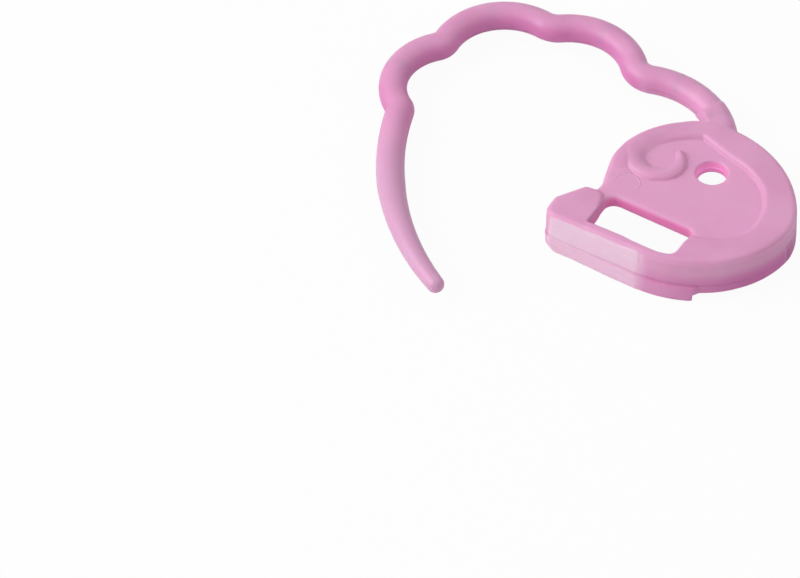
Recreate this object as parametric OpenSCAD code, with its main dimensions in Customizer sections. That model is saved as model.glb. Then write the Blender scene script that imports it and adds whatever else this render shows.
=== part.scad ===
// Clip-on stitch marker, lying open on its front wall.
// The head is a hollow cap with a slot and an eye; the arm is a thin rod of
// scallops that ends in a tapered finger. Pinching the arm swings the finger
// under the head's front wall, and it springs up behind that wall to lock.
// +X runs along the slot, +Y away from the front wall, +Z up.

/* [Head] */
// Radius of the head's round outline
head_r = 6.4; // [6:0.1:7]
// Height of the raised rim over the rest plane
head_h = 3.4; // [3.2:0.1:4.2]
// Depth of the sunk field below the rim
field_sink = 0.35; // [0.15:0.05:0.5]
// Thickness of the top plate under the field
plate_t = 1.0; // [0.8:0.05:1.2]
// Thickness of the skirt round the cap
skirt_t = 1.0; // [0.7:0.05:1.3]
// Gap between the rest plane and the skirt's lower edge
skirt_lift = 0.5; // [0:0.1:0.9]
// Radius of the soft upper edge of the head
edge_r = 0.35; // [0.15:0.05:0.5]
// Radius of the flatter arc on the side of the arm
flat_r = 8.1; // [7.6:0.1:9]
// How far that arc cuts inside the round outline
flat_cut = 0.6; // [0.2:0.1:0.8]
// Direction of the middle of that arc, in degrees from +X
flat_at = 58; // [50:1:66]

/* [Slot and front wall] */
// Distance from the head's centre to the outer face of the front wall
front_y = 6.65; // [6.5:0.05:7]
// Radius of the arc that blends the front wall into the round outline
blend_r = 7.85; // [7.4:0.05:8.4]
// X where the front wall's deep lower edge ends
deep_end = 2; // [1.5:0.1:2.6]
// Thickness of the front wall
wall_t = 0.75; // [0.6:0.05:0.9]
// Width of the slot behind the front wall
slot_w = 2.8; // [2.6:0.1:3]
// Length of the slot
slot_l = 6.2; // [5.6:0.1:6.6]
// X of the slot's blind end
slot_end = 1.3; // [1:0.1:1.6]
// Rounding of the slot's corners
slot_corner = 0.5; // [0.2:0.05:0.8]
// Length of the nose beyond the slot
nose_l = 2.85; // [2.5:0.05:3.2]
// Rounding of the nose's outer corner
nose_corner = 0.4; // [0.2:0.05:0.6]
// Length of the nose's straight left side, before its slanted far side
nose_side = 1.35; // [1:0.05:1.8]
// Distance from the slot to the nose's far corner
nose_far = 1.65; // [1.4:0.05:1.9]
// Height of the nose over the sunk field
nose_rise = 0.3; // [0.1:0.05:0.5]
// Depth of the detent lip on the front wall's inner face
lip_d = 0.15; // [0.05:0.05:0.2]
// Length of the detent lip
lip_l = 3.0; // [2:0.1:4]
// Width of the channel that takes the finger, under the slot and the nose
channel_w = 2.55; // [2.2:0.05:2.6]
// Width of the channel's mouth, at the end where the finger comes in
mouth_w = 3.6; // [3.3:0.05:3.7]

/* [Eye] */
// Diameter of the eye, for a jump ring or a yarn end
eye_d = 2.0; // [1.4:0.05:2.2]
// X of the eye
eye_x = -0.3; // [-0.6:0.1:0.6]
// Y of the eye
eye_y = 2.05; // [1.6:0.05:2.2]
// Rounding of the eye's upper rim
eye_edge = 0.12; // [0.05:0.01:0.2]

/* [Curl] */
// Radius of the sunk field's round side
field_r = 4.15; // [4:0.05:4.4]
// Radius of the curl's outer edge
curl_r = 2.12; // [2:0.02:2.3]
// Radius of the tail's outer edge
tail_r = 1.65; // [1.5:0.05:1.75]
// Radius of the pocket inside the curl
pocket_r = 1.1; // [1:0.05:1.2]
// Width of the tail at its round end
tail_w = 0.5; // [0.4:0.05:0.6]

/* [Arm] */
// Diameter of the arm's rod
rod_d = 1.8; // [1.4:0.05:2]
// Height of the rod's axis over the rest plane
arm_z = 1.3; // [1.2:0.05:1.5]
// Diameter of the finger at its rounded tip
tip_d = 1.1; // [0.8:0.05:1.3]
// Length over which the finger tapers
taper_l = 9.2; // [7:0.1:12]
// Radius of the finger's long arc
finger_r = 20; // [19:0.5:22]
// Length of the finger along its arc, from the last cusp to the tip
finger_l = 16.25; // [15:0.25:17.5]
// Radius of the three scallops
scallop_r = 4.1; // [3.9:0.05:4.3]
// Radius of the arc between the head and the first cusp
root_r = 5.75; // [5.5:0.05:6]
// Direction from that arc's centre to the end of the root lug, in degrees
root_at = 58; // [54:1:62]
// Width of the flat-topped root lug
lug_w = 2.1; // [1.9:0.05:2.3]
// Height of the lug's flat top over the rod's axis
lug_top = 0.95; // [0.9:0.05:1.1]
// Length of the lug's flat-topped part
lug_l = 1.7; // [1.4:0.1:2.2]
// Rounding of the flat top's edges
lug_edge = 0.25; // [0.1:0.05:0.35]

/* [Flexures] */
// Running gap between a ball end and its seat
flex_gap = 0.06; // [0.04:0.01:0.1]
// How far a ball end stands proud of its rod
ball_proud = 0.06; // [0.02:0.01:0.08]
// Most that a cusp's notch closes, in degrees
spread = 8; // [4:1:10]
// How much further each side of a notch stands back, in degrees
notch_slack = 3; // [2:0.5:4]
// Distance from the head's side to the centre of the root ball
root_out = 0.65; // [0.55:0.05:0.8]

/* [Hidden] */
$fn = 96;
pink = [0.88, 0.58, 0.77];

rod_r = rod_d / 2;
ball_r = rod_r + ball_proud;
root_ball_r = lug_w / 2 + ball_proud;
field_h = head_h - field_sink;
roof_z = field_h - plate_t;
nose_h = field_h + nose_rise;
eps = 0.01;
over = 1;
// Blended faces cross by this much, so that none only just touch
graze = 0.005;

// Points on circles: at a bearing, the bearing of a point, and where two circles meet
function at(c, r, a) = [c.x + r * cos(a), c.y + r * sin(a)];
function bearing(c, p) = atan2(p.y - c.y, p.x - c.x);
function turn(a) = a < 0 ? a + 360 : a;
function meet(c0, r0, c1, r1) =
    let (d = norm(c1 - c0), a = (d * d + r0 * r0 - r1 * r1) / (2 * d), h = sqrt(r0 * r0 - a * a),
         u = (c1 - c0) / d)
    c0 + a * u + h * [u.y, -u.x];

// The head's flatter arc cuts the round outline by flat_cut on the bearing flat_at
flat_c = at([0, 0], head_r - flat_cut - flat_r, flat_at);
slot_y = -front_y + wall_t;
slot_x = slot_end - slot_l;
nose_x = slot_x - nose_l;
// The nose's far side, and the notch where it runs into the round outline
nose_back = 0.3;
notch_bearing = 205.5;
valley_share = 0.75;
valley_rise = 0.1;
nose_y = slot_y + slot_w - nose_back;
head_notch = at([0, 0], head_r, notch_bearing);
nose_valley = [slot_x - valley_share * nose_far, nose_y + valley_rise];

// The field's centre, and the sharp corner where the rim turns down into the curl
field_c = [0.1, -0.35];
field_at = 62;
band_corner = [-2.4, 4.4];
// The curl's two outer arcs, its pocket, and the bearings of its mouth
curl_c = [-3.78, 1.28];
curl_rise = 0.35;
tail_c = [-3.33, 0.96];
pocket_c = [-3.56, 1.22];
pocket_at = 125;
tail_at = 50;

// Centres of the arm's arcs, from the root round the loop to the finger
root_c = [-6.7, 3.5];
scallop_c = [[-13.3, 6.8], [-17.65, 5.75], [-19.2, 1.85]];
// The last scallop ends on the bearing finger_at, and the finger's centre lies on finger_lean from there
finger_at = 242.84;
finger_lean = 15.5;
finger_p = at(scallop_c[2], scallop_r, finger_at);
finger_c = at(finger_p, finger_r, finger_lean);
tip_at = 180 + finger_lean + finger_l / finger_r * 180 / PI;

// Hinge points: the root ball, the lug's end, and the four cusps
root_bearing = bearing(root_c, meet([0, 0], head_r + root_out, root_c, root_r));
root_p = at(root_c, root_r, root_bearing);
lug_p = at(root_c, root_r, root_at);
cusp = [
    meet(root_c, root_r, scallop_c[0], scallop_r),
    meet(scallop_c[0], scallop_r, scallop_c[1], scallop_r),
    meet(scallop_c[1], scallop_r, scallop_c[2], scallop_r),
    finger_p
];
arc_c = [root_c, scallop_c[0], scallop_c[1], scallop_c[2], finger_c];
arc_r = [root_r, scallop_r, scallop_r, scallop_r, finger_r];
arc_from = [for (i = [0:4]) turn(bearing(arc_c[i], i == 0 ? lug_p : cusp[i - 1]))];
arc_to = [for (i = [0:4]) i == 4 ? tip_at : turn(bearing(arc_c[i], cusp[i]))];
// Bearing of the notch outside each cusp, halfway between its two arcs' radii
notch_at = [for (i = [0:3]) (turn(bearing(arc_c[i], cusp[i])) + turn(bearing(arc_c[i + 1], cusp[i]))) / 2];

// Angle that the finger's round tip takes up on its arc
cap_a = tip_d / 2 / finger_r * 180 / PI;

// Middle of the footprint: the origin is moved there, on the rest plane
left_x = scallop_c[2].x - scallop_r - rod_r;
back_y = scallop_c[0].y + scallop_r + rod_r;
tip_y = finger_c.y + finger_r * sin(tip_at - cap_a) - tip_d / 2;
middle = [(left_x + head_r) / 2, (back_y + tip_y) / 2];

// A body of revolution with a soft upper edge
module soft_disc(r, z0, z1, e) {
    rotate_extrude()
        union() {
            translate([0, z0]) square([r, z1 - z0 - e]);
            translate([0, z0]) square([r - e, z1 - z0]);
            translate([r - e, z1 - e]) circle(e);
        }
}

// The cap's outline: a round disc with a flatter arc beside the arm
module cap_blank(inset, z0, z1, e) {
    intersection() {
        soft_disc(head_r - inset, z0, z1, e);
        translate([flat_c.x, flat_c.y, 0]) soft_disc(flat_r - inset, z0, z1, e);
    }
}

// The blending arc runs on from the front wall's face and crosses the round outline
blend_y = blend_r - front_y - graze;
blend_x = -sqrt((blend_r - head_r) * (blend_r - head_r) - blend_y * blend_y) - 4 * graze;
blend_end = head_r * cos(atan2(-blend_y, -blend_x));
module front_blend(z0, x1) {
    intersection() {
        translate([blend_x, blend_y, 0]) soft_disc(blend_r, z0, head_h, edge_r);
        translate([blend_x - edge_r, -front_y - over, 0])
            cube([x1 - blend_x + edge_r, 2 * over + wall_t, head_h]);
    }
}

// The nose's roof in plan, from the slot to the chamfer on its far side
module nose_plan() {
    union() {
        translate([nose_x + nose_corner, nose_corner - front_y]) circle(nose_corner);
        polygon([
            [nose_x, nose_corner - front_y], [nose_x + nose_corner, -front_y],
            [slot_x + eps, -front_y], [slot_x + eps, nose_y], head_notch, nose_valley,
            [slot_x - nose_far, nose_y], [nose_x, nose_side - front_y]
        ]);
    }
}

// The straight front wall in section, with its soft upper edge
module front_bar(x0, x1, h) {
    translate([x0, -front_y, 0])
        rotate([90, 0, 90])
            linear_extrude(x1 - x0)
                union() {
                    square([wall_t, h - edge_r]);
                    translate([edge_r, 0]) square([wall_t - edge_r, h]);
                    translate([edge_r, h - edge_r]) circle(edge_r);
                }
}

// The nose is a roof over the channel's open end, and the front wall runs on under it
module nose() {
    difference() {
        translate([0, 0, roof_z]) linear_extrude(nose_h - roof_z) nose_plan();
        translate([nose_x - over, -front_y - over, nose_h - edge_r])
            cube([nose_l + 2 * over, over + edge_r, edge_r + over]);
    }
    intersection() {
        front_bar(nose_x, slot_x + eps, nose_h);
        linear_extrude(nose_h) nose_plan();
    }
}

module slot_plan() {
    translate([slot_x + slot_corner, slot_y]) square([slot_l - 2 * slot_corner, slot_w]);
    translate([slot_x, slot_y + slot_corner]) square([slot_l, slot_w - 2 * slot_corner]);
    for (x = [slot_x + slot_corner, slot_end - slot_corner], y = [slot_y + slot_corner, slot_y + slot_w - slot_corner])
        translate([x, y]) circle(slot_corner);
}

// The slot goes right through, past the detent lip on the front wall
module slot() {
    difference() {
        translate([0, 0, -over]) linear_extrude(head_h + 2 * over) slot_plan();
        front_lip();
    }
}

// Plan of the curl: two discs less its pocket and the passage out of the pocket
module curl_plan() {
    difference() {
        union() {
            intersection() {
                translate(curl_c) circle(curl_r);
                translate([-head_r, curl_c.y - head_r]) square([head_r + over, head_r - curl_rise]);
            }
            intersection() {
                translate(tail_c) circle(tail_r);
                translate([tail_c.x, curl_c.y - curl_rise]) square(head_r);
            }
            polygon([
                [curl_c.x, curl_c.y - curl_rise], [-head_r, curl_c.y - curl_rise],
                [-head_r, head_r], [band_corner.x, head_r], band_corner
            ]);
        }
        translate(pocket_c) circle(pocket_r);
        polygon([
            band_corner, at(pocket_c, pocket_r, pocket_at), pocket_c,
            at(pocket_c, pocket_r, tail_at), at(pocket_c, 2 * tail_r, tail_at)
        ]);
    }
    translate(at(pocket_c, pocket_r + tail_w / 2, tail_at)) circle(tail_w / 2);
}

// The sunk field: round under the eye, open to the disc's left edge
module field_plan() {
    difference() {
        union() {
            translate(field_c) circle(field_r);
            polygon([
                at(field_c, field_r, field_at), band_corner, [-head_r - over, band_corner.y],
                [-head_r - over, slot_y + slot_w], [slot_end, slot_y + slot_w - slot_corner]
            ]);
        }
        curl_plan();
    }
}

// The open space under the plate, and the channel that takes the finger
module cavity() {
    translate([0, 0, -over])
        intersection() {
            cylinder(r = head_r - skirt_t, h = roof_z + over);
            translate([flat_c.x, flat_c.y, 0]) cylinder(r = flat_r - skirt_t, h = roof_z + over);
        }
    translate([0, 0, -over]) linear_extrude(roof_z + over) channel_plan();
}

// A straight channel under the slot, with a wider mouth under the nose
module channel_plan() {
    mouth_x = slot_x + over;
    polygon([
        [nose_x - over, slot_y], [slot_end, slot_y], [slot_end, slot_y + channel_w],
        [mouth_x, slot_y + channel_w], [mouth_x, slot_y + mouth_w], [nose_x - over, slot_y + mouth_w]
    ]);
}

module front_lip() {
    translate([slot_end - slot_corner - lip_l, slot_y - eps, 0])
        cube([lip_l, lip_d + eps, roof_z]);
}

// Everything above the plate's underside and the walls, before the openings
module head_blank() {
    difference() {
        union() {
            cap_blank(0, skirt_lift, head_h, edge_r);
            front_blend(0, deep_end);
            front_blend(skirt_lift, blend_end);
            front_bar(slot_x - eps, blend_x, head_h);
        }
        translate([0, 0, field_h]) linear_extrude(head_h) field_plan();
    }
    nose();
}

module head() {
    color(pink)
    difference() {
        head_blank();
        difference() {
            cavity();
            translate([nose_x - over, -front_y - over, -2 * over])
                cube([deep_end - nose_x + over, wall_t + over, head_h + 2 * over]);
            front_lip();
        }
        slot();
        translate([eye_x, eye_y, -over]) cylinder(d = eye_d, h = head_h + 2 * over);
        translate([eye_x, eye_y, field_h - eye_edge])
            cylinder(d1 = eye_d, d2 = eye_d + 2 * eye_edge + 2 * eps, h = eye_edge + eps);
        ball(root_p, root_ball_r + flex_gap, root_bearing);
    }
}

// A round rod along one of the arm's arcs
module rod(i) {
    translate([arc_c[i].x, arc_c[i].y, arm_z])
        rotate([0, 0, arc_from[i]])
            rotate_extrude(angle = arc_to[i] - arc_from[i])
                translate([arc_r[i], 0]) circle(rod_r);
}

// A ball whose poles lie along the rod, at right angles to the bearing a
module ball(p, r, a) {
    translate([p.x, p.y, arm_z])
        rotate([0, 90, a + 90])
            sphere(r);
}

// A notch is open by notch_half on each side of its middle: a link may not reach past its own side
notch_half = spread / 2 + notch_slack;
notch_reach = 1.6 * rod_d;
module notch_block(i, side) {
    translate([cusp[i].x, cusp[i].y, arm_z - rod_d])
        rotate([0, 0, notch_at[i] - side * notch_half])
            translate([0, side > 0 ? 0 : -rod_d, 0])
                cube([notch_reach, rod_d, 2 * rod_d]);
}

// A link carries a ball at its far cusp and a seat for the ball before it
module link(i) {
    start = i == 0 ? lug_p : cusp[i - 1];
    difference() {
        union() {
            difference() {
                rod(i);
                notch_block(i, 1);
            }
            ball(cusp[i], ball_r, arc_to[i]);
        }
        ball(start, ball_r + flex_gap, arc_from[i]);
        if (i > 0) notch_block(i - 1, -1);
    }
}

module root_lug() {
    color(pink)
    union() {
        translate([root_c.x, root_c.y, arm_z])
            rotate([0, 0, root_bearing]) {
                rotate_extrude(angle = root_at - root_bearing)
                    translate([root_r, 0]) circle(rod_r);
                rotate_extrude(angle = lug_l / root_r * 180 / PI)
                    translate([root_r, 0]) lug_section();
            }
        ball(root_p, root_ball_r, root_bearing);
        ball(lug_p, ball_r, root_at);
    }
}

// Round below, flat on top with soft edges
module lug_section() {
    half = lug_w / 2;
    circle(half);
    translate([-half, 0]) square([lug_w, lug_top - lug_edge]);
    translate([lug_edge - half, 0]) square([lug_w - 2 * lug_edge, lug_top]);
    for (x = [lug_edge - half, half - lug_edge])
        translate([x, lug_top - lug_edge]) circle(lug_edge);
}

module scallop_1() { color(pink) link(0); }
module scallop_2() { color(pink) link(1); }
module scallop_3() { color(pink) link(2); }
module scallop_4() { color(pink) link(3); }

// The finger is a swept skin whose radius falls steadily to the round tip
sides = 20;
steps = 44;
cap_rings = 5;
taper_a = taper_l / finger_r * 180 / PI;
function finger_rad(a) = tip_d / 2 + (rod_r - tip_d / 2) * max(0, min(1, (tip_at - a) / taper_a));
function ring(a, r) = [for (k = [0:sides - 1])
    let (t = 360 * k / sides, q = at(finger_c, finger_r + r * cos(t), a)) [q.x, q.y, arm_z + r * sin(t)]];
module finger_skin() {
    a1 = tip_at - cap_a;
    rings = concat(
        [for (k = [0:steps]) let (a = arc_from[4] + (a1 - arc_from[4]) * k / steps) ring(a, finger_rad(a))],
        [for (k = [1:cap_rings - 1]) let (b = 90 * k / cap_rings)
            ring(a1 + cap_a * sin(b), finger_rad(a1) * cos(b))]
    );
    n = len(rings);
    tip = at(finger_c, finger_r, tip_at);
    points = concat([for (r = rings) each r], [[tip.x, tip.y, arm_z]]);
    faces = concat(
        [[for (k = [sides - 1:-1:0]) k]],
        [for (i = [0:n - 2], k = [0:sides - 1]) let (a = i * sides + k, b = i * sides + (k + 1) % sides)
            each [[a, b, a + sides], [b, b + sides, a + sides]]],
        [for (k = [0:sides - 1]) [(n - 1) * sides + k, (n - 1) * sides + (k + 1) % sides, n * sides]]
    );
    polyhedron(points, faces);
}

module finger() {
    color(pink)
    difference() {
        finger_skin();
        ball(cusp[3], ball_r + flex_gap, arc_from[4]);
        notch_block(3, -1);
    }
}

module placed() {
    translate([-middle.x, -middle.y, 0]) children();
}

placed() head();
placed() root_lug();
placed() scallop_1();
placed() scallop_2();
placed() scallop_3();
placed() scallop_4();
placed() finger();
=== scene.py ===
# %% [markdown]
# # A clip-on stitch marker in moulded plastic
#
# The object is one small moulding: a hollow round cap with a slot, an eye and a curl in
# relief, and a thin arm of scallops that ends in a tapered finger. Everything shown melts
# into its neighbour with a small fillet, so both forms are written as distance functions:
# a number for each point in space that is negative inside the plastic. Lengths below are
# in millimetres, measured from the middle of the round head.

import math

import bpy
import numpy as np
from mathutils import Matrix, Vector


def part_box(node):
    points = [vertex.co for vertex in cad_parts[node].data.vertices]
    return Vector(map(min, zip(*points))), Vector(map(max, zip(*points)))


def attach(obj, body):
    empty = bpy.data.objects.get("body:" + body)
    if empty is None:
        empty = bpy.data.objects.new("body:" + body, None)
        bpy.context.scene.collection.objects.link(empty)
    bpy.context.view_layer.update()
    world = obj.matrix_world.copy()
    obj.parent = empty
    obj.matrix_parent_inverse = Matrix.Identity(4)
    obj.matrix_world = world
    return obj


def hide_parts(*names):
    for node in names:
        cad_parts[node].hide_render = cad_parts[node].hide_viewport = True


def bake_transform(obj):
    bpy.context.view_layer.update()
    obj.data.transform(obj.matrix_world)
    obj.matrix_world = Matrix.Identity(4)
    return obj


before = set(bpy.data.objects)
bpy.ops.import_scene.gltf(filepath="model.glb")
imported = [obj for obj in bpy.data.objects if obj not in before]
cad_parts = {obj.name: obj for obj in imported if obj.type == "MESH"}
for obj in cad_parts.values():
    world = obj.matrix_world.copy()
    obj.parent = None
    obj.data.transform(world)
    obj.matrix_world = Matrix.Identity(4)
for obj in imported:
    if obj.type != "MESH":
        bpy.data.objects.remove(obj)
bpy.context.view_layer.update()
# Radius of the round head, place of the front wall's face, and height of the rod's axis
HEAD_R = 6.4
FRONT_Y = -6.65
AXIS_Z = 1.3
head_low, head_high = (np.array(corner) * 1000 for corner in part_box("head"))
# Added to a place in the frame, this measures it from the middle of the head
MIDDLE = np.array([HEAD_R - head_high[0], FRONT_Y - head_low[1], 0.0])

# %% [markdown]
# Two helpers do all the blending. A soft minimum joins two forms with a fillet, and a soft
# maximum cuts one form by another and rounds the edge between them.


# %% Soft joins and cuts
def soft_min(a, b, k):
    """The smaller of a and b, less a quarter of k times the square of how close they are."""
    near = np.maximum(k - np.abs(a - b), 0) / k
    return np.minimum(a, b) - near * near * k / 4


def soft_max(a, b, k):
    """The larger of a and b, rounded in the same way."""
    return -soft_min(-a, -b, k)


def ease(t):
    """0 below 0, 1 above 1, and 3 t squared less 2 t cubed in between."""
    t = np.clip(t, 0, 1)
    return t * t * (3 - 2 * t)


def normals_of(field, p, h=0.03):
    """The field's slope at each point, by differences over h each way, made unit length."""
    steps = np.eye(3) * h
    slope = np.stack([field(p + s) - field(p - s) for s in steps], -1)
    return slope / np.maximum(np.linalg.norm(slope, axis=-1, keepdims=True), 1e-9)


def add_skin(name, points, faces, normals):
    """A mesh object from points in millimetres, faces, and one shading normal a point."""
    mesh = bpy.data.meshes.new(name)
    mesh.from_pydata(((points - MIDDLE) * 0.001).tolist(), [], faces)
    mesh.polygons.foreach_set("use_smooth", [True] * len(mesh.polygons))
    mesh.update()
    mesh.normals_split_custom_set_from_vertices(normals.tolist())
    piece = bpy.data.objects.new(name, mesh)
    bpy.context.scene.collection.objects.link(piece)
    return piece


# %% [markdown]
# ## The arm
#
# Seen from above, the arm's centreline is five arcs of circles. A small arc rounds each
# corner between two of them: the cusps. The rod round it has one thickness up to the
# finger, which tapers to a round tip. A bent cylinder would crease badly at the notches. So
# each ring of the skin is fitted instead: rays leave the centreline and stop where the
# joined rods end.


# %% The arcs of the arm
def at(centre, radius, bearing):
    """The point on a circle at a bearing in degrees."""
    turn = np.radians(bearing)
    return np.array(centre) + radius * np.stack([np.cos(turn), np.sin(turn)], -1)


def bearing(centre, point):
    """Bearing in degrees, 0 to 360, from a circle's centre to a point."""
    return math.degrees(math.atan2(point[1] - centre[1], point[0] - centre[0])) % 360


def meet(c0, r0, c1, r1):
    """Where two circles cross, on the right of the line from the first to the second."""
    c0, c1 = np.array(c0), np.array(c1)
    gap = np.linalg.norm(c1 - c0)
    along = (gap**2 + r0**2 - r1**2) / (2 * gap)
    way = (c1 - c0) / gap
    return c0 + along * way + math.sqrt(r0**2 - along**2) * np.array([way[1], -way[0]])


# The rod, and the finger's tip, length along its arc, and taper in degrees of that arc
ROD_R = 0.92
TIP_R = 0.57
FINGER_L = 16.7
TAPER = 26.4
# Bearings of the last cusp from its scallop's centre, and of the finger's centre from it
LAST_CUSP_AT = 240.2
FINGER_LEAN = 15.6
# The root's joint lies this far from the head's middle, and the arm starts inside the head
ROOT_OUT = 7.05
ROOT_INSIDE = 13
# Bearing of the joint in the lug
LUG_AT = 58
# Radius of the small arc that rounds each cusp
CUSP_R = [1.57, 1.63, 0.97, 0.53]
centres = [(-6.76, 3.5), (-13.35, 6.72), (-17.57, 5.65), (-19.17, 1.81)]
radii = [5.76, 4.26, 4.22, 3.97, 20.2]
cusps = [meet(centres[i], radii[i], centres[i + 1], radii[i + 1]) for i in range(3)]
cusps.append(at(centres[3], radii[3], LAST_CUSP_AT))
centres.append(at(cusps[3], radii[4], FINGER_LEAN))
root_ball = meet((0, 0), ROOT_OUT, centres[0], radii[0])
lug_ball = at(centres[0], radii[0], LUG_AT)
tip_at = 180 + FINGER_LEAN + math.degrees((FINGER_L - TIP_R) / radii[4])
hubs = [
    meet(centres[i], radii[i] + CUSP_R[i], centres[i + 1], radii[i + 1] + CUSP_R[i])
    for i in range(4)
]
starts = [bearing(centres[0], root_ball) - ROOT_INSIDE]
starts += [bearing(centres[i + 1], hubs[i]) for i in range(4)]
ends = [bearing(centres[i], hubs[i]) for i in range(4)] + [tip_at]
print("cusps", np.round(cusps, 2).tolist(), "hubs", np.round(hubs, 2).tolist())


# %% Distance to the arm
def arc_gap(p, centre, radius, start, end):
    """Distance in plan from an arc, and the bearing left to its end: across the arc where the
    bearing is on it, and from the nearer end where it isn't."""
    off = p[..., :2] - np.array(centre)
    mid, half = (start + end) / 2, (end - start) / 2
    turn = (np.degrees(np.arctan2(off[..., 1], off[..., 0])) - mid + 180) % 360 - 180
    across = np.abs(np.hypot(off[..., 0], off[..., 1]) - radius)
    tips = [at(centre, radius, a) for a in (start, end)]
    to_end = np.minimum(*[np.linalg.norm(p[..., :2] - tip, axis=-1) for tip in tips])
    return np.where(np.abs(turn) <= half, across, to_end), half - turn


def rod(p, i):
    """Distance from arc i's centreline, less the rod's radius there."""
    gap, left = arc_gap(p, centres[i], radii[i], starts[i], ends[i])
    thin = np.clip(left / TAPER, 0, 1) if i == 4 else 1
    return np.hypot(gap, p[..., 2] - AXIS_Z) - (TIP_R + (ROD_R - TIP_R) * thin)


def cusp(p, i):
    """The same for the small arc that rounds cusp i between the arcs on either side of it."""
    gap, _ = arc_gap(p, hubs[i], CUSP_R[i], starts[i + 1] + 180, ends[i] + 180)
    return np.hypot(gap, p[..., 2] - AXIS_Z) - ROD_R


# The lug's reach towards the inside of the bend, its flat top's height over the axis, the
# radii of its corners, and a point on its oblique end with the way out of it
LUG_IN = 1.0
LUG_TOP = 0.95
CRISP, WELL_ROUNDED = 0.2, 0.8
LUG_END = np.array([-3.8, 7.5, 2.25])
LUG_END_WAY = np.array([-0.74, 0.35, 0.57])


def lug(p):
    """The root's own section: round below, and above a flat top with a crisp corner on the
    inside of the bend and a well rounded one outside. An oblique plane cuts its end."""
    off = p[..., :2] - np.array(centres[0])
    u = np.hypot(off[..., 0], off[..., 1]) - radii[0]
    v = p[..., 2] - AXIS_Z
    half, corner = np.where(u < 0, LUG_IN, ROD_R), np.where(u < 0, CRISP, WELL_ROUNDED)
    qu, qv = np.abs(u) - half + corner, v - LUG_TOP + corner
    top = np.hypot(np.maximum(qu, 0), np.maximum(qv, 0)) + np.minimum(np.maximum(qu, qv), 0)
    below = np.hypot(np.abs(u) - half + ROD_R, v) - ROD_R
    section = np.where(v > 0, top - corner, below)
    return soft_max(section, (p - LUG_END) @ LUG_END_WAY, 0.15)


NOTCH_FILLET = 0.16
LUG_FILLET = 0.12


def arm(p):
    """The rods joined with a small fillet in each notch, and the lug on the first one."""
    joined = rod(p, 0)
    for i in range(1, 5):
        joined = soft_min(joined, rod(p, i), NOTCH_FILLET)
        joined = np.minimum(joined, cusp(p, i - 1))
    return soft_min(joined, lug(p), LUG_FILLET)


print("depth of the root's joint in the plastic", arm(np.array([*root_ball, AXIS_Z])))


# %% [markdown]
# The rings stand upright and across the centreline. Near a cusp they fan out round a pivot
# in or just outside the notch, so that they never cross each other.

# %% Rings along the arm
STEP = 0.1
SIDES = 48
# A pivot lies at least this many rod radii from the centreline
CLEAR = 1.22
pivots = []
for k in range(4):
    notch = at((0, 0), 1, (ends[k] + starts[k + 1]) / 2)
    pivots.append(hubs[k] + notch * max(0, CLEAR * ROD_R - CUSP_R[k]))
rows = []
for i in range(5):
    n = int(math.radians(ends[i] - starts[i]) * radii[i] / STEP)
    turns = np.linspace(starts[i], ends[i], n + 1)
    centre = at(centres[i], radii[i], turns)
    out = at((0, 0), 1, turns)
    for k, side in ((i - 1, -1), (i, 1)):
        if 0 <= k < 4:
            fan = side * (turns - bearing(centres[i], pivots[k])) > 0
            aim = pivots[k] - centre
            aim /= np.linalg.norm(aim, axis=1, keepdims=True)
            out = np.where(fan[:, None], aim, out)
    rows.append((np.full(n + 1, float(i)), turns, centre, out))
    if i < 4:
        first, last = ends[i] + 180, starts[i + 1] + 180
        n = int(math.radians(first - last) * (CUSP_R[i] + 0.3) / STEP) + 2
        centre = at(hubs[i], CUSP_R[i], np.linspace(first, last, n + 1)[1:-1])
        aim = pivots[i] - centre
        aim /= np.linalg.norm(aim, axis=1, keepdims=True)
        rows.append((np.full(n - 1, i + 0.5), np.zeros(n - 1), centre, aim))
ring_arc, ring_turn, ring_c, ring_out = (np.concatenate(part) for part in zip(*rows))
print("rings", len(ring_turn))

# %% Fit the rings
# The last ring is repeated, leaning forward more and more, for the round tip
dome = np.radians([15, 30, 45, 60, 74, 85])
lean = np.concatenate([np.zeros(len(ring_turn)), dome])
ring_c = np.concatenate([ring_c, np.repeat(ring_c[-1:], len(dome), 0)])
ring_out = np.concatenate([ring_out, np.repeat(ring_out[-1:], len(dome), 0)])
ahead = np.stack([-ring_out[:, 1], ring_out[:, 0], np.zeros(len(lean))], -1)
round_ = np.linspace(0, 2 * np.pi, SIDES, endpoint=False)
out3 = np.concatenate([ring_out, np.zeros((len(lean), 1))], 1)
up = np.array([0, 0, 1.0])
across = np.cos(round_)[None, :, None] * out3[:, None] + np.sin(round_)[None, :, None] * up
rays = np.cos(lean)[:, None, None] * across + np.sin(lean)[:, None, None] * ahead[:, None]
origin = np.concatenate([ring_c, np.full((len(lean), 1), AXIS_Z)], 1)[:, None]
# Each step moves the end of a ray by its distance from the surface
ray_l = np.full(rays.shape[:2], 0.3)
for _ in range(60):
    ray_l -= arm(origin + ray_l[..., None] * rays)
arm_p = origin + ray_l[..., None] * rays
arm_n = normals_of(arm, arm_p)
print("arm skin", arm_p.shape, "misfit mm", float(np.abs(arm(arm_p)).max()))


# %% [markdown]
# The arm is one skin, but it bends at its root, in the lug and at the cusps. It is cut in
# between, where nothing bends, into one piece for each joint. Neighbours share the same
# ring of points and the same normals, so no seam shows.

# %% Pieces of the arm
def tube_faces(n):
    """Quads between neighbouring rings, wound so that they face out, and a cap on each end."""
    ring, side = np.meshgrid(np.arange(n - 1), np.arange(SIDES), indexing="ij")
    a, b = ring * SIDES + side, ring * SIDES + (side + 1) % SIDES
    quads = np.stack([a, a + SIDES, b + SIDES, b], -1).reshape(-1, 4).tolist()
    last = (n - 1) * SIDES
    return quads + [list(range(SIDES)), list(range(last + SIDES - 1, last - 1, -1))]


def ring_at(arc, turn):
    """The ring nearest a bearing on an arc."""
    return int(np.argmin(np.where(ring_arc == arc, np.abs(ring_turn - turn), 1e9)))


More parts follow.
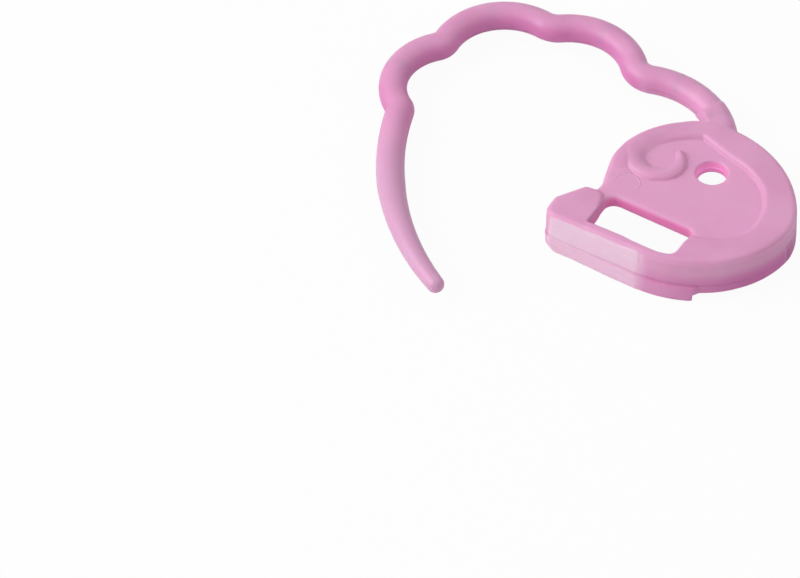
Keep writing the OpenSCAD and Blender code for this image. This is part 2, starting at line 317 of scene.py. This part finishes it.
# Bearings between which the lug's piece lies
LUG_FROM, LUG_TO = 47, 88
cuts = [0, ring_at(0, LUG_FROM), ring_at(0, LUG_TO)]
cuts += [ring_at(i, (starts[i] + ends[i]) / 2) for i in (1, 2, 3)] + [len(lean) - 1]
# Each piece's name, its two bodies, its joint, and half the length over which it bends
bends = [
    ("arm_root", "head", "root_lug", root_ball, 0.45),
    ("arm_lug", "root_lug", "scallop_1", lug_ball, 0.9),
    ("arm_cusp_1", "scallop_1", "scallop_2", cusps[0], 0.8),
    ("arm_cusp_2", "scallop_2", "scallop_3", cusps[1], 0.8),
    ("arm_cusp_3", "scallop_3", "scallop_4", cusps[2], 0.8),
    ("arm_finger", "scallop_4", "finger", cusps[3], 0.8),
]
arm_pieces = []
for k, (name, a, b, pivot, half) in enumerate(bends):
    i, j = cuts[k], cuts[k + 1] + 1
    points, shading = (values[i:j].reshape(-1, 3) for values in (arm_p, arm_n))
    piece = add_skin(name, points, tube_faces(j - i), shading)
    near = int(np.argmin(np.linalg.norm(ring_c - pivot, axis=1)))
    way = ahead[near]
    at_joint = np.array([*pivot, AXIS_Z])
    first, last = ((at_joint + s * half * way - MIDDLE) * 0.001 for s in (-1, 1))
    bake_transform(piece)
    arm_pieces.append(piece)
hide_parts("root_lug")
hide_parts("scallop_1")
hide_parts("scallop_2")
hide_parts("scallop_3")
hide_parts("scallop_4", "finger")
print("arm pieces", [(p.name, len(p.data.polygons)) for p in arm_pieces])

# %% [markdown]
# ## The head
#
# The head is a cap a little over 3 mm high. Its face has a raised rim that thickens to a
# crescent, a field sunk 0.35 mm, and a curl that leaves the rim like a bead and winds in
# to a round tail. First come the plan shapes, as signed distances on a fine grid that the
# height of the face and the walls are both read from. The outline is a circle whose radius
# changes a little with the bearing, cut by a flatter arc beside the arm, and joined to the
# front wall with its nose and to the arc that blends the wall into the circle.

# %% Plan grid
GRID = 0.04
grid_x = np.arange(-8.6, 7.2, GRID)
grid_y = np.arange(-7.6, 7.2, GRID)
plan = np.stack(np.meshgrid(grid_x, grid_y, indexing="ij"), -1)


def curve(points, each=8):
    """A smooth line through points: on each span, a cubic whose slopes are half the step
    between the points on either side."""
    p = np.array(points, float)
    padded = np.concatenate([p[:1], p, p[-1:]])
    a, b, c, d = (padded[k : len(p) - 1 + k, None] for k in range(4))
    t = np.linspace(0, 1, each, endpoint=False)[None, :, None]
    square, cube = 2 * a - 5 * b + 4 * c - d, 3 * b - a - 3 * c + d
    out = 2 * b + (c - a) * t + square * t**2 + cube * t**3
    return np.concatenate([0.5 * out.reshape(-1, p.shape[1]), p[-1:]])


def nearest(p, line):
    """For each point: distance to a line of short spans, and how far along the line it is,
    counted in spans."""
    best, along = np.full(p.shape[:-1], 1e9), np.zeros(p.shape[:-1])
    for k in range(len(line) - 1):
        span = line[k + 1] - line[k]
        off = p - line[k]
        t = np.clip((off @ span) / (span @ span), 0, 1)
        gap = np.linalg.norm(off - t[..., None] * span, axis=-1)
        closer = gap < best
        best = np.where(closer, gap, best)
        along = np.where(closer, k + t, along)
    return best, along


def region(p, outline):
    """Signed distance to a closed outline: its nearest span, negative where a line drawn
    to the right crosses the outline an odd number of times."""
    ring = np.concatenate([outline, outline[:1]])
    gap = nearest(p, ring)[0]
    odd = np.zeros(p.shape[:-1], bool)
    for (x0, y0), (x1, y1) in zip(ring[:-1], ring[1:]):
        if y0 != y1:
            spans = (y0 > p[..., 1]) != (y1 > p[..., 1])
            odd ^= spans & (p[..., 0] < x0 + (p[..., 1] - y0) * (x1 - x0) / (y1 - y0))
    return np.where(odd, -gap, gap)


def rounded(corners, each=6):
    """An outline from corners (x, y, radius): each corner is an arc that touches both sides."""
    c = np.array(corners, float)
    out = []
    for k in range(len(c)):
        p, r = c[k, :2], c[k, 2]
        u, v = c[k - 1, :2] - p, c[(k + 1) % len(c), :2] - p
        u, v = u / np.linalg.norm(u), v / np.linalg.norm(v)
        half = math.acos(max(-1, min(1, float(u @ v)))) / 2
        if r < 1e-6:
            out.append(p[None])
            continue
        mid = (u + v) / np.linalg.norm(u + v)
        hub = p + mid * r / math.sin(half)
        a, b = p + u * r / math.tan(half) - hub, p + v * r / math.tan(half) - hub
        sweep = math.atan2(a[0] * b[1] - a[1] * b[0], a @ b)
        t = np.linspace(0, sweep, each)[:, None]
        out.append(hub + a * np.cos(t) + np.array([-a[1], a[0]]) * np.sin(t))
    return np.concatenate(out)


# %% Outline, slot and sunk field
# The flatter arc: its radius, how far it cuts inside the circle, and where its middle is
FLAT_R = 8.1
FLAT_IN = 0.64
FLAT_AT = 63
flat = at((0, 0), HEAD_R - FLAT_IN - FLAT_R, FLAT_AT)
# Radius of the arc that blends the front wall into the circle, and X where it begins
BLEND_R = 7.85
BLEND_X = -0.82


def disc(p, centre, radius):
    """Distance from a circle in plan."""
    return np.hypot(p[..., 0] - centre[0], p[..., 1] - centre[1]) - radius


bearings = np.degrees(np.arctan2(plan[..., 1], plan[..., 0])) % 360
head_radius = np.interp(
    bearings,
    [0, 115, 130, 150, 165, 178, 190, 200, 215, 280, 320, 335, 350],
    [6.58, 6.5, 6.43, 6.52, 6.58, 6.5, 6.37, 6.33, 6.35, 6.4, 6.42, 6.48, 6.54],
    period=360,
)
circle = np.linalg.norm(plan, axis=-1) - head_radius
round_part = soft_max(circle, disc(plan, flat, FLAT_R), 0.3)
front_wall = rounded([
    (-7.83, FRONT_Y, 0.75), (BLEND_X, FRONT_Y, 0), (BLEND_X, -4.5, 0), (-4.6, -2.6, 0),
    (-5.72, -2.55, 0.1), (-6.08, -3.0, 0.25), (-6.58, -3.12, 0.4), (-7.83, -4.98, 0.35),
])
blend = disc(plan, (BLEND_X, FRONT_Y + BLEND_R), BLEND_R)
blend = np.maximum(np.maximum(blend, -2.6 - plan[..., 0]), plan[..., 1] + 4.6)
nose_fillet = 0.12 + 0.62 * ease((-3 - plan[..., 0]) / 2)
outline_map = soft_min(np.minimum(round_part, blend), region(plan, front_wall), nose_fillet)
slot_map = region(plan, rounded([
    (-4.92, -5.96, 0.1), (-2.4, -5.95, 0), (-1.6, -6.02, 0), (-0.5, -6.06, 0),
    (0.3, -6.04, 0), (1.24, -5.8, 0.6), (1.24, -3.07, 0.5), (-4.95, -2.91, 0.7),
]))
rim_edge = curve([
    (1.0, -3.55), (1.76, -3.46), (2.63, -3.09), (3.6, -2.37), (4.21, -1.23), (4.19, 0.18),
    (3.77, 1.36), (3.0, 2.32), (1.59, 3.22), (-0.07, 3.67), (-2.41, 4.41),
])
beyond_curl = [(-3.6, 7.2), (-9, 7.2), (-9, -2.5)]
nose_edge = [
    (-6.4, -3.0), (-5.7, -3.05), (-5.25, -3.2), (-5.0, -3.6), (-4.5, -4.2), (1.0, -4.2),
]
field_map = region(plan, np.concatenate([rim_edge, beyond_curl, nose_edge]))
print("plan grid", plan.shape)

# %% [markdown]
# The rim rises from the sunk field in a quarter of an ellipse. The curl lies between two
# lines, its inner and its outer foot. Between them its height depends on the share of the
# way across: a soft slope up to the crown, then a round drop. Where the curl is still the
# cap's own edge there is no drop, and it stays level with the rim. Outside the curl a ramp
# fills the corner between it and the cap's edge. Each point of the inner foot also says
# where the crown is, how high it stands, and how level the far side stays.

# %% Height of the face
RIM_TOP, FIELD_TOP = 3.4, 3.05
RIM_FILLET = 0.38
TAIL_FILLET = 0.26
# Spans of the inner foot from which the slope gets fuller, and from which the tail is round
FULLER_FROM, TAIL_FROM = 96, 108
RAMP_H = 0.32
NOSE_DROP = 0.06
inner = curve([
    (-1.2, 4.75, 0.2, 0.35, 1), (-1.9, 4.4, 0.2, 0.35, 1), (-2.55, 4.13, 0.24, 0.35, 1),
    (-3.27, 3.65, 0.32, 0.35, 1), (-3.87, 3.13, 0.42, 0.35, 1), (-4.26, 2.66, 0.5, 0.35, 1),
    (-4.5, 2.21, 0.55, 0.35, 0.9), (-4.62, 1.62, 0.58, 0.35, 0.6), (-4.6, 1.22, 0.6, 0.35, 0.3),
    (-4.43, 0.92, 0.6, 0.35, 0), (-4.17, 0.72, 0.6, 0.35, 0), (-3.77, 0.61, 0.6, 0.34, 0),
    (-3.34, 0.72, 0.6, 0.34, 0), (-3.0, 0.97, 0.6, 0.33, 0), (-2.84, 1.34, 0.58, 0.31, 0),
    (-2.84, 1.76, 0.5, 0.31, 0), (-2.92, 2.05, 0.45, 0.32, 0), (-3.08, 2.3, 0.45, 0.32, 0),
])
outer = curve([
    (-1.0, 7.0), (-3.0, 6.2), (-4.55, 5.0), (-5.6, 3.8), (-6.25, 2.6), (-6.5, 1.6), (-6.2, 0.75),
    (-5.68, 0.18), (-5.36, -0.1), (-5.02, -0.35), (-4.32, -0.58), (-3.74, -0.61), (-3.23, -0.51),
    (-2.79, -0.28), (-2.44, -0.04), (-2.18, 0.23), (-1.97, 0.58), (-1.89, 1.03), (-1.9, 1.48),
    (-2.05, 1.93), (-2.3, 2.33), (-2.6, 2.6), (-2.85, 2.7), (-3.03, 2.64), (-3.1, 2.46),
])
gap_in, along = nearest(plan, inner[:, :2])
gap_out = nearest(plan, outer)[0]
crown, tall, level = (np.interp(along, np.arange(len(inner)), inner[:, k]) for k in (2, 3, 4))
share = gap_in / (gap_in + gap_out + 1e-6)
curl_map = region(plan, np.concatenate([inner[:, :2], outer[::-1]]))
drop = np.sqrt(np.maximum(1 - (np.maximum(share - crown, 0) / (1 - crown)) ** 2, 0))
soft = 1 - (1 - np.minimum(share / crown, 1)) ** 2
soft = soft ** (1 - 0.5 * ease((along - FULLER_FROM) / 16))
bead = tall * np.where(share < crown, soft, level + (1 - level) * drop)
tail = np.sqrt(1 - (1 - np.clip(-curl_map / TAIL_FILLET, 0, 1)) ** 2)
bead *= 1 - ease((along - TAIL_FROM) / 20) * (1 - tail)
ramp = RAMP_H * ease((plan[..., 1] + 1.3) / 1.6) * ease((-4.2 - plan[..., 0]) / 1.6)
on_curl = np.maximum(bead, ramp * (share > crown))
bead = np.where(curl_map < 0, on_curl, ramp * (plan[..., 1] < 1.2))
rim = np.sqrt(1 - (1 - np.clip(field_map / RIM_FILLET, 0, 1)) ** 2)
face_map = FIELD_TOP + np.maximum((RIM_TOP - FIELD_TOP) * rim, bead)
# The nose stands a little lower than the rim
face_map -= NOSE_DROP * ease((-4.5 - plan[..., 0]) / 0.5) * (field_map > 0)
print("face from", float(face_map.min()), "to", float(face_map.max()))


# %% [markdown]
# The solid is the outline, cut by the face above, by the rest plane and the higher lower
# edge of the skirt below, by the hollow under the plate, and by the slot and the eye. Each
# cut rounds its own edge. A round cap with walls, a slot and a hollow can't be one grid of
# two parameters, so the skin is the level surface of this function.

# %% Distance to the head
# The round eye, its lower half, and the height where the two meet
EYE, EYE_R = (-0.3, 2.05), 1.0
LOW_EYE, LOW_EYE_R = (-0.26, 2.06), 0.94
EYE_STEP_Z = 2.55
# The skirt's thickness and lower edge, and the front wall's inner face
WALL = 1.0
SKIRT_Z = 0.55
INNER_Y = -5.9
# Where the front wall's deep lower edge ends, and the roof of the hollow
DEEP_END = 3.1
ROOF_Z = 2.05
# How far the finger's channel goes back from the front wall and to the right, and the same
# for the wider mouth where the finger comes in
CHANNEL_BACK, CHANNEL_END = -3.35, 1.3
MOUTH_BACK, MOUTH_END = -1.2, -3.93


def read(values, x, y):
    """The value of a map between its grid points, straight along both axes."""
    i = np.clip((x - grid_x[0]) / GRID, 0, len(grid_x) - 1.001)
    j = np.clip((y - grid_y[0]) / GRID, 0, len(grid_y) - 1.001)
    i0, j0 = i.astype(int), j.astype(int)
    u, v = i - i0, j - j0
    near = values[i0, j0] * (1 - u) + values[i0 + 1, j0] * u
    far = values[i0, j0 + 1] * (1 - u) + values[i0 + 1, j0 + 1] * u
    return near * (1 - v) + far * v


def head_xyz(x, y, z):
    """Negative inside the head's plastic: the outline with a ledge on the front wall below
    the parting line, less the face, the underside, the hollow, the slot and the eye."""
    ledge = (0.05 + 0.17 * ease((x + 6) / 4)) * ease((AXIS_Z - z) / 0.06)
    ledge = ledge * ease((DEEP_END - x) / 0.3) * ease((-4 - y) / 0.6)
    side = read(outline_map, x, y) + 0.018 * np.abs(z - AXIS_Z) - ledge
    body = soft_max(side, z - read(face_map, x, y), 0.4)
    deep = np.maximum(y - INNER_Y, x - DEEP_END)
    below = soft_min(SKIRT_Z - z, soft_max(-z, deep, 0.1), 0.06)
    body = soft_max(body, below, 0.2 + 0.5 * ease((-6.8 - x) / 0.6))
    p = np.stack(np.broadcast_arrays(x, y), -1)
    under = np.maximum(disc(p, (0, 0), HEAD_R - WALL), disc(p, flat, FLAT_R - WALL))
    channel = np.maximum(np.maximum(INNER_Y - y, y - CHANNEL_BACK), x - CHANNEL_END)
    mouth = np.maximum(np.maximum(INNER_Y - y, y - MOUTH_BACK), x - MOUTH_END)
    hollow = soft_max(np.minimum(np.minimum(under, channel), mouth), -deep, 0.1)
    body = soft_max(body, -soft_max(hollow, z - ROOF_Z, 0.2), 0.12)
    body = soft_max(body, -read(slot_map, x, y), 0.14 + 0.22 * ease((y + 4.6) / 0.6))
    upper = soft_max(disc(p, EYE, EYE_R), EYE_STEP_Z - z, 0.04)
    eye = np.minimum(disc(p, LOW_EYE, LOW_EYE_R), upper)
    return soft_max(body, -eye, 0.22)


def head(p):
    """The same, for an array of points."""
    return head_xyz(p[..., 0], p[..., 1], p[..., 2])


print("depth of the plate's middle in the plastic", head(np.array([0, 0, FIELD_TOP - 0.5])))


# %% [markdown]
# Surface nets turn the function into a skin: each grid cell that the surface passes
# through gets one point, at the mean of the crossings on its edges, and each crossed edge
# joins its four cells with a quad. Newton steps then pull the points on to the surface.

# %% Skin of the head
CELL = 0.09


def level_surface(field_xyz, low, high, cell):
    """Points and quads of the surface where a function of x, y and z is zero."""
    axes = [np.arange(a, b + cell, cell) for a, b in zip(low, high)]
    value = field_xyz(axes[0][:, None, None], axes[1][None, :, None], axes[2][None, None, :])
    shape = np.array(value.shape)
    total, count = np.zeros((*(shape - 1), 3)), np.zeros(shape - 1)
    crossings = []
    for k in range(3):
        first = [slice(None)] * 3
        second = [slice(None)] * 3
        first[k], second[k] = slice(0, -1), slice(1, None)
        a, b = value[tuple(first)], value[tuple(second)]
        hit = np.argwhere((a < 0) != (b < 0))
        va, vb = a[tuple(hit.T)], b[tuple(hit.T)]
        where = hit.astype(float)
        where[:, k] += va / (va - vb)
        u, v = (k + 1) % 3, (k + 2) % 3
        inner = np.all((hit[:, [u, v]] > 0) & (hit[:, [u, v]] < shape[[u, v]] - 1), axis=1)
        hit, where, va = hit[inner], where[inner], va[inner]
        around = []
        for du, dv in ((0, 0), (1, 0), (1, 1), (0, 1)):
            cell_at = hit.copy()
            cell_at[:, u] -= du
            cell_at[:, v] -= dv
            np.add.at(total, tuple(cell_at.T), where)
            np.add.at(count, tuple(cell_at.T), 1)
            around.append(cell_at)
        crossings.append((around, va < 0))
    used = count > 0
    number = np.cumsum(used.ravel()).reshape(used.shape) - 1
    points = np.array(low) + cell * total[used] / count[used][:, None]
    quads = []
    for around, out in crossings:
        quad = np.stack([number[tuple(c.T)] for c in around], -1)
        quads.append(np.where(out[:, None], quad, quad[:, ::-1]))
    return points, np.concatenate(quads)


head_p, head_q = level_surface(head_xyz, (-8.05, -6.95, -0.3), (6.75, 6.75, 3.75), CELL)
for _ in range(6):
    slope = np.stack([head(head_p + s) - head(head_p - s) for s in np.eye(3) * 0.02], -1) / 0.04
    move = head(head_p)[:, None] * slope / np.maximum((slope**2).sum(-1, keepdims=True), 0.2)
    head_p -= np.clip(move, -0.04, 0.04)
head_n = normals_of(head, head_p)
head_skin = add_skin("head_skin", head_p, head_q.tolist(), head_n)
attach(head_skin, "head")
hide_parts("head")
print("head skin", len(head_p), "points", len(head_q), "quads")

# %% [markdown]
# ## The plastic
#
# One milky pink runs through the whole moulding. Its look comes from a satin skin with
# soft broad highlights, from a little light that the plastic lets through, and from small
# marks: streaks scuffed into the flat front wall, the line where the mould closes, the
# ring left by an ejector pin, and the patch where the plastic came in.


# %% Shader maths
class Sock:
    """Wraps a node's output so that maths on it adds Math nodes."""

    def __init__(self, tree, socket):
        self.tree, self.socket = tree, socket

    def node(self, kind, settings=None, **values):
        """A node of a type, with its settings first and then its sockets' values or links."""
        node = self.tree.nodes.new(kind)
        for key, value in (settings or {}).items():
            setattr(node, key, value)
        for key, value in values.items():
            numbered = key[0] == "_" and key[1:].isdigit()
            place = node.inputs[int(key[1:]) if numbered else key.replace("_", " ")]
            if isinstance(value, Sock):
                self.tree.links.new(value.socket, place)
            else:
                place.default_value = value
        return node

    def math(self, operation, *values):
        """A Math node on sockets and numbers."""
        slots = {f"_{k}": value for k, value in enumerate(values)}
        node = self.node("ShaderNodeMath", {"operation": operation}, **slots)
        return Sock(self.tree, node.outputs[0])

    def __add__(self, other):
        return self.math("ADD", self, other)

    __radd__ = __add__

    def __sub__(self, other):
        return self.math("SUBTRACT", self, other)

    def __rsub__(self, other):
        return self.math("SUBTRACT", other, self)

    def __mul__(self, other):
        return self.math("MULTIPLY", self, other)

    __rmul__ = __mul__

    def __abs__(self):
        return self.math("ABSOLUTE", self)

    def ease(self, low, high):
        """0 at low and 1 at high, smoothly; low may be the larger."""
        smooth = {"interpolation_type": "SMOOTHSTEP"}
        node = self.node("ShaderNodeMapRange", smooth, Value=self, From_Min=low, From_Max=high)
        return Sock(self.tree, node.outputs[0])


# %% Places, noise and colours
def srgb(r, g, b):
    """A colour as a paint program gives it, 0 to 255, made linear."""
    c = np.array([r, g, b]) / 255
    return (*np.where(c <= 0.04045, c / 12.92, ((c + 0.055) / 1.055) ** 2.4).tolist(), 1.0)


plastic = bpy.data.materials.new("pink_plastic")
plastic.use_nodes = True
tree = plastic.node_tree
shader = tree.nodes["Principled BSDF"]
start = Sock(tree, tree.nodes.new("ShaderNodeTexCoord").outputs["Object"])
split = start.node("ShaderNodeSeparateXYZ", Vector=start)
X, Y, Z = (Sock(tree, split.outputs[k]) * 1000 for k in range(3))
X, Y = X + float(MIDDLE[0]), Y + float(MIDDLE[1])


def noise(scale, detail=3, stretch=(1, 1, 1)):
    """Noise at so many waves a millimetre, stretched along the axes."""
    mapped = start.node("ShaderNodeMapping", Vector=start, Scale=tuple(1000 * s for s in stretch))
    place = Sock(tree, mapped.outputs[0])
    made = start.node("ShaderNodeTexNoise", Vector=place, Scale=scale, Detail=detail)
    return Sock(tree, made.outputs["Fac"])


def mix(fac, a, b):
    """A colour between a and b."""
    node = start.node("ShaderNodeMix", {"data_type": "RGBA"}, _0=fac)
    for value, place in ((a, node.inputs[6]), (b, node.inputs[7])):
        if isinstance(value, Sock):
            tree.links.new(value.socket, place)
        else:
            place.default_value = value
    return Sock(tree, node.outputs[2])


# %% [markdown]
# Every mark, and every place where light or shade is painted, is a mask: 1 on it and 0
# off it, a product of soft steps in X, Y and Z.
# The scuffs also need noise, stretched along the wall as a rubbed surface shows it.

# %% Masks of the marks and of the painted light
def pin_edge(x, y, radius):
    """1 on a circle in plan, falling to 0 a little way off it."""
    dx, dy = X - x, Y - y
    off = dx * dx + dy * dy
    return 1 - abs(off.math("SQRT", off) - radius).ease(0.0, 0.07)


on_front = Y.ease(-6.55, -6.62) * X.ease(0.0, -1.3) * X.ease(-8.6, -8.2)
streaks = noise(1.3, 5, (0.6, 1, 6)).ease(0.45, 0.7) * noise(0.7, 2).ease(0.35, 0.6) * on_front
on_field = Z.ease(2.9, 3.0)
pin = pin_edge(-4.52, -1.53, 0.85) * on_field
faint_pin = pin_edge(0.82, -0.2, 1.2) * on_field
gate_height = X.ease(6.0, 6.2) * Z.ease(0.75, 0.85) * Z.ease(2.25, 2.15)
gate = Y.ease(-0.58, -0.48) * Y.ease(0.36, 0.26) * gate_height
gate_edge = (1 - abs(Y + 0.55).ease(0.04, 0.09)) * gate_height
parting = (1 - abs(Z - AXIS_Z).ease(0.015, 0.06)) * X.ease(-8.6, -8.4)
# The walls of the slot and the eye, where light bounced inside them and let through the plastic
# is painted
far_wall = X.ease(-5.1, -5.0) * X.ease(1.4, 1.0) * Y.ease(-4.2, -3.4) * Y.ease(-2.78, -2.84)
end_wall = X.ease(-5.1, -5.0) * X.ease(-4.3, -4.8) * Y.ease(-6.1, -5.4) * Y.ease(-2.78, -2.84)
within = Z.ease(2.98, 2.85) * Z.ease(1.9, 2.1)
slot_wall = far_wall.math("MAXIMUM", far_wall, end_wall) * within
# The distance from the eye's axis, squared
from_eye = (X - EYE[0]) * (X - EYE[0]) + (Y - EYE[1]) * (Y - EYE[1])
eye_wall = from_eye.ease(1.2, 1.05) * within
print("masks made,", len(tree.nodes), "nodes")

# %% [markdown]
# The pink is painted deeper where shade falls: low down, most of all on the right side
# away from the key lamp, and on the arm, but not towards the finger's tip. The walls of
# the slot and the eye are painted a clearer pink, for light bounced inside them and let
# through the plastic. Painted highlights make paler a band at the sunk field's height along
# the rim's edge, and the upper half of the pin's ring. The front wall is paler for its
# scuffs and for painted light of the key lamp over the whole wall. The gate's edge is
# paler, and the gate itself and the parting line are darker.

# %% Colour
cloud = noise(0.35, 3)
colour = mix(cloud.ease(0.3, 0.7), srgb(230, 163, 204), srgb(237, 172, 212))
# Painted highlight: a band from 3.02 to 3.1 mm high, the sunk field and the foot of the rim's
# edge, is made paler
rim_highlight_mask = Z.ease(3.2, 3.1) * Z.ease(2.95, 3.02)
colour = mix(rim_highlight_mask * 0.5, colour, srgb(244, 177, 218))
on_arm = X.ease(-8.5, -9.5)
by_tip = Y.ease(-2.0, -9.0) * X.ease(-9.0, -11.0)
# Painted shade: the pink goes deeper low down, most of all on the right side away from the key
# lamp and on the arm
low_shade = Z.ease(2.5, 1.4) * (X.ease(1.0, 6.0) * 0.6 + on_arm * 0.45 + 0.35)
colour = mix(low_shade * (1 - by_tip * 0.85), colour, srgb(217, 117, 183))
colour = mix(by_tip * 0.8, colour, srgb(219, 167, 202))
# Painted light: the walls of the slot and the eye take a clearer pink for light bounced inside
# them
colour = mix(slot_wall + eye_wall, colour, srgb(233, 141, 192))
# The front wall is paler: streaks for its scuffs, and over the whole wall painted light from the
# key lamp
scuffs_and_front_light = (streaks * 0.3 + 0.7) * on_front * (1 - Z.ease(1.32, 1.24) * 0.2)
colour = mix(scuffs_and_front_light, colour, srgb(255, 226, 243))
colour = mix(parting * 0.25, colour, srgb(170, 95, 145))
# Painted highlight: the upper half of the pin's ring is paler
colour = mix(pin * Y.ease(-1.8, -1.2) * 0.5, colour, srgb(250, 205, 230))
colour = mix(gate * 0.4, colour, srgb(185, 100, 160))
colour = mix(gate_edge * 0.6, colour, srgb(228, 170, 212))
tree.links.new(colour.socket, shader.inputs["Base Color"])
print("colour made,", len(tree.nodes), "nodes")

# %% [markdown]
# The marks are also felt in the surface, through a bump. A faint glow in the walls of the
# slot and the eye stands for the light that reaches them through the plastic.

# %% Surface and glow
rough = 0.33 + noise(0.8) * 0.08 + streaks * 0.15
tree.links.new(rough.socket, shader.inputs["Roughness"])
height = noise(3.0, 4) * 0.012 + streaks * 0.03 + faint_pin * 0.008 - parting * 0.03
height = height + pin * Y.ease(-1.9, -1.3) * 0.09 + gate * noise(2.5, 3) * 0.12
bump = start.node("ShaderNodeBump", Height=height, Strength=0.6, Distance=0.001)
tree.links.new(bump.outputs[0], shader.inputs["Normal"])
glow = mix(slot_wall, (0.0, 0.0, 0.0, 1.0), (0.13, 0.03, 0.08, 1.0))
glow = mix(eye_wall, glow, (0.26, 0.1, 0.21, 1.0))
tree.links.new(glow.socket, shader.inputs["Emission Color"])
constants = {
    "Emission Strength": 1.0,
    "Sheen Weight": 0.12,
    "Sheen Roughness": 0.5,
    "Sheen Tint": srgb(255, 220, 240),
    "Subsurface Weight": 0.4,
    "Subsurface Radius": (1.0, 0.35, 0.5),
    "Subsurface Scale": 0.0006,
}
for name, value in constants.items():
    shader.inputs[name].default_value = value
for piece in [head_skin, *arm_pieces]:
    piece.data.materials.append(plastic)
print("plastic", len(tree.nodes), "nodes")

# %% [markdown]
# ## The photograph's view
#
# The object lies on a white sheet under broad soft light. A long lens looks down at it at
# about 46 degrees. The sheet is nearly white to the camera but keeps a trace of the shadow.

# %% Camera
# The picture's width and the lens's focal length in its pixels, fitted to the outline
PHOTO_W = 800
FOCAL_PX = 7323
SENSOR = 36
scene = bpy.context.scene
target = Vector((-0.004613, -0.013393, 0.0004))
view_from = Vector((0.15731, -0.28828, 0.33661))
camera = bpy.data.objects.new("camera", bpy.data.cameras.new("camera"))
scene.collection.objects.link(camera)
camera.location = view_from
camera.rotation_euler = (target - view_from).to_track_quat("-Z", "Y").to_euler()
camera.data.sensor_width = SENSOR
camera.data.lens = SENSOR * FOCAL_PX / PHOTO_W
camera.data.clip_start = 0.01
scene.camera = camera
print("camera distance", (target - view_from).length)


# %% Lamps
def lamp(name, place, size, power):
    """A square area lamp in millimetres that faces the object."""
    light = bpy.data.lights.new(name, "AREA")
    light.size, light.energy = size * 0.001, power
    obj = bpy.data.objects.new(name, light)
    scene.collection.objects.link(obj)
    obj.location = Vector(place) * 0.001
    obj.rotation_euler = (-obj.location).to_track_quat("-Z", "Y").to_euler()
    return obj


lamp("key", (-215, -150, 190), 260, 0.74)
lamp("fill", (200, 160, 300), 240, 0.16)
print("lamps", [light.name for light in bpy.data.lights])

# %% White sheet
mesh = bpy.data.meshes.new("floor")
SPAN = 2.0
corners = [(-SPAN, -SPAN, 0), (SPAN, -SPAN, 0), (SPAN, SPAN, 0), (-SPAN, SPAN, 0)]
mesh.from_pydata(corners, [], [(0, 1, 2, 3)])
floor = bpy.data.objects.new("floor", mesh)
scene.collection.objects.link(floor)
paper = bpy.data.materials.new("paper")
paper.use_nodes = True
ptree = paper.node_tree
sheet = ptree.nodes["Principled BSDF"]
sheet.inputs["Base Color"].default_value = (0.85, 0.85, 0.85, 1)
sheet.inputs["Roughness"].default_value = 0.9
path = ptree.nodes.new("ShaderNodeLightPath")
white = ptree.nodes.new("ShaderNodeEmission")
seen = ptree.nodes.new("ShaderNodeMath")
seen.operation = "MULTIPLY"
seen.inputs[1].default_value = 0.95
either = ptree.nodes.new("ShaderNodeMixShader")
ptree.links.new(path.outputs["Is Camera Ray"], seen.inputs[0])
ptree.links.new(seen.outputs[0], either.inputs[0])
ptree.links.new(sheet.outputs[0], either.inputs[1])
ptree.links.new(white.outputs[0], either.inputs[2])
ptree.links.new(either.outputs[0], ptree.nodes["Material Output"].inputs[0])
floor.data.materials.append(paper)
world = bpy.data.worlds.new("world")
world.use_nodes = True
scene.world = world
background = world.node_tree.nodes["Background"]
background.inputs["Color"].default_value = (1, 1, 1, 1)
background.inputs["Strength"].default_value = 0.44
scene.view_settings.view_transform = "Standard"
print("sheet", 2 * SPAN, "m wide, paper", len(ptree.nodes), "nodes")
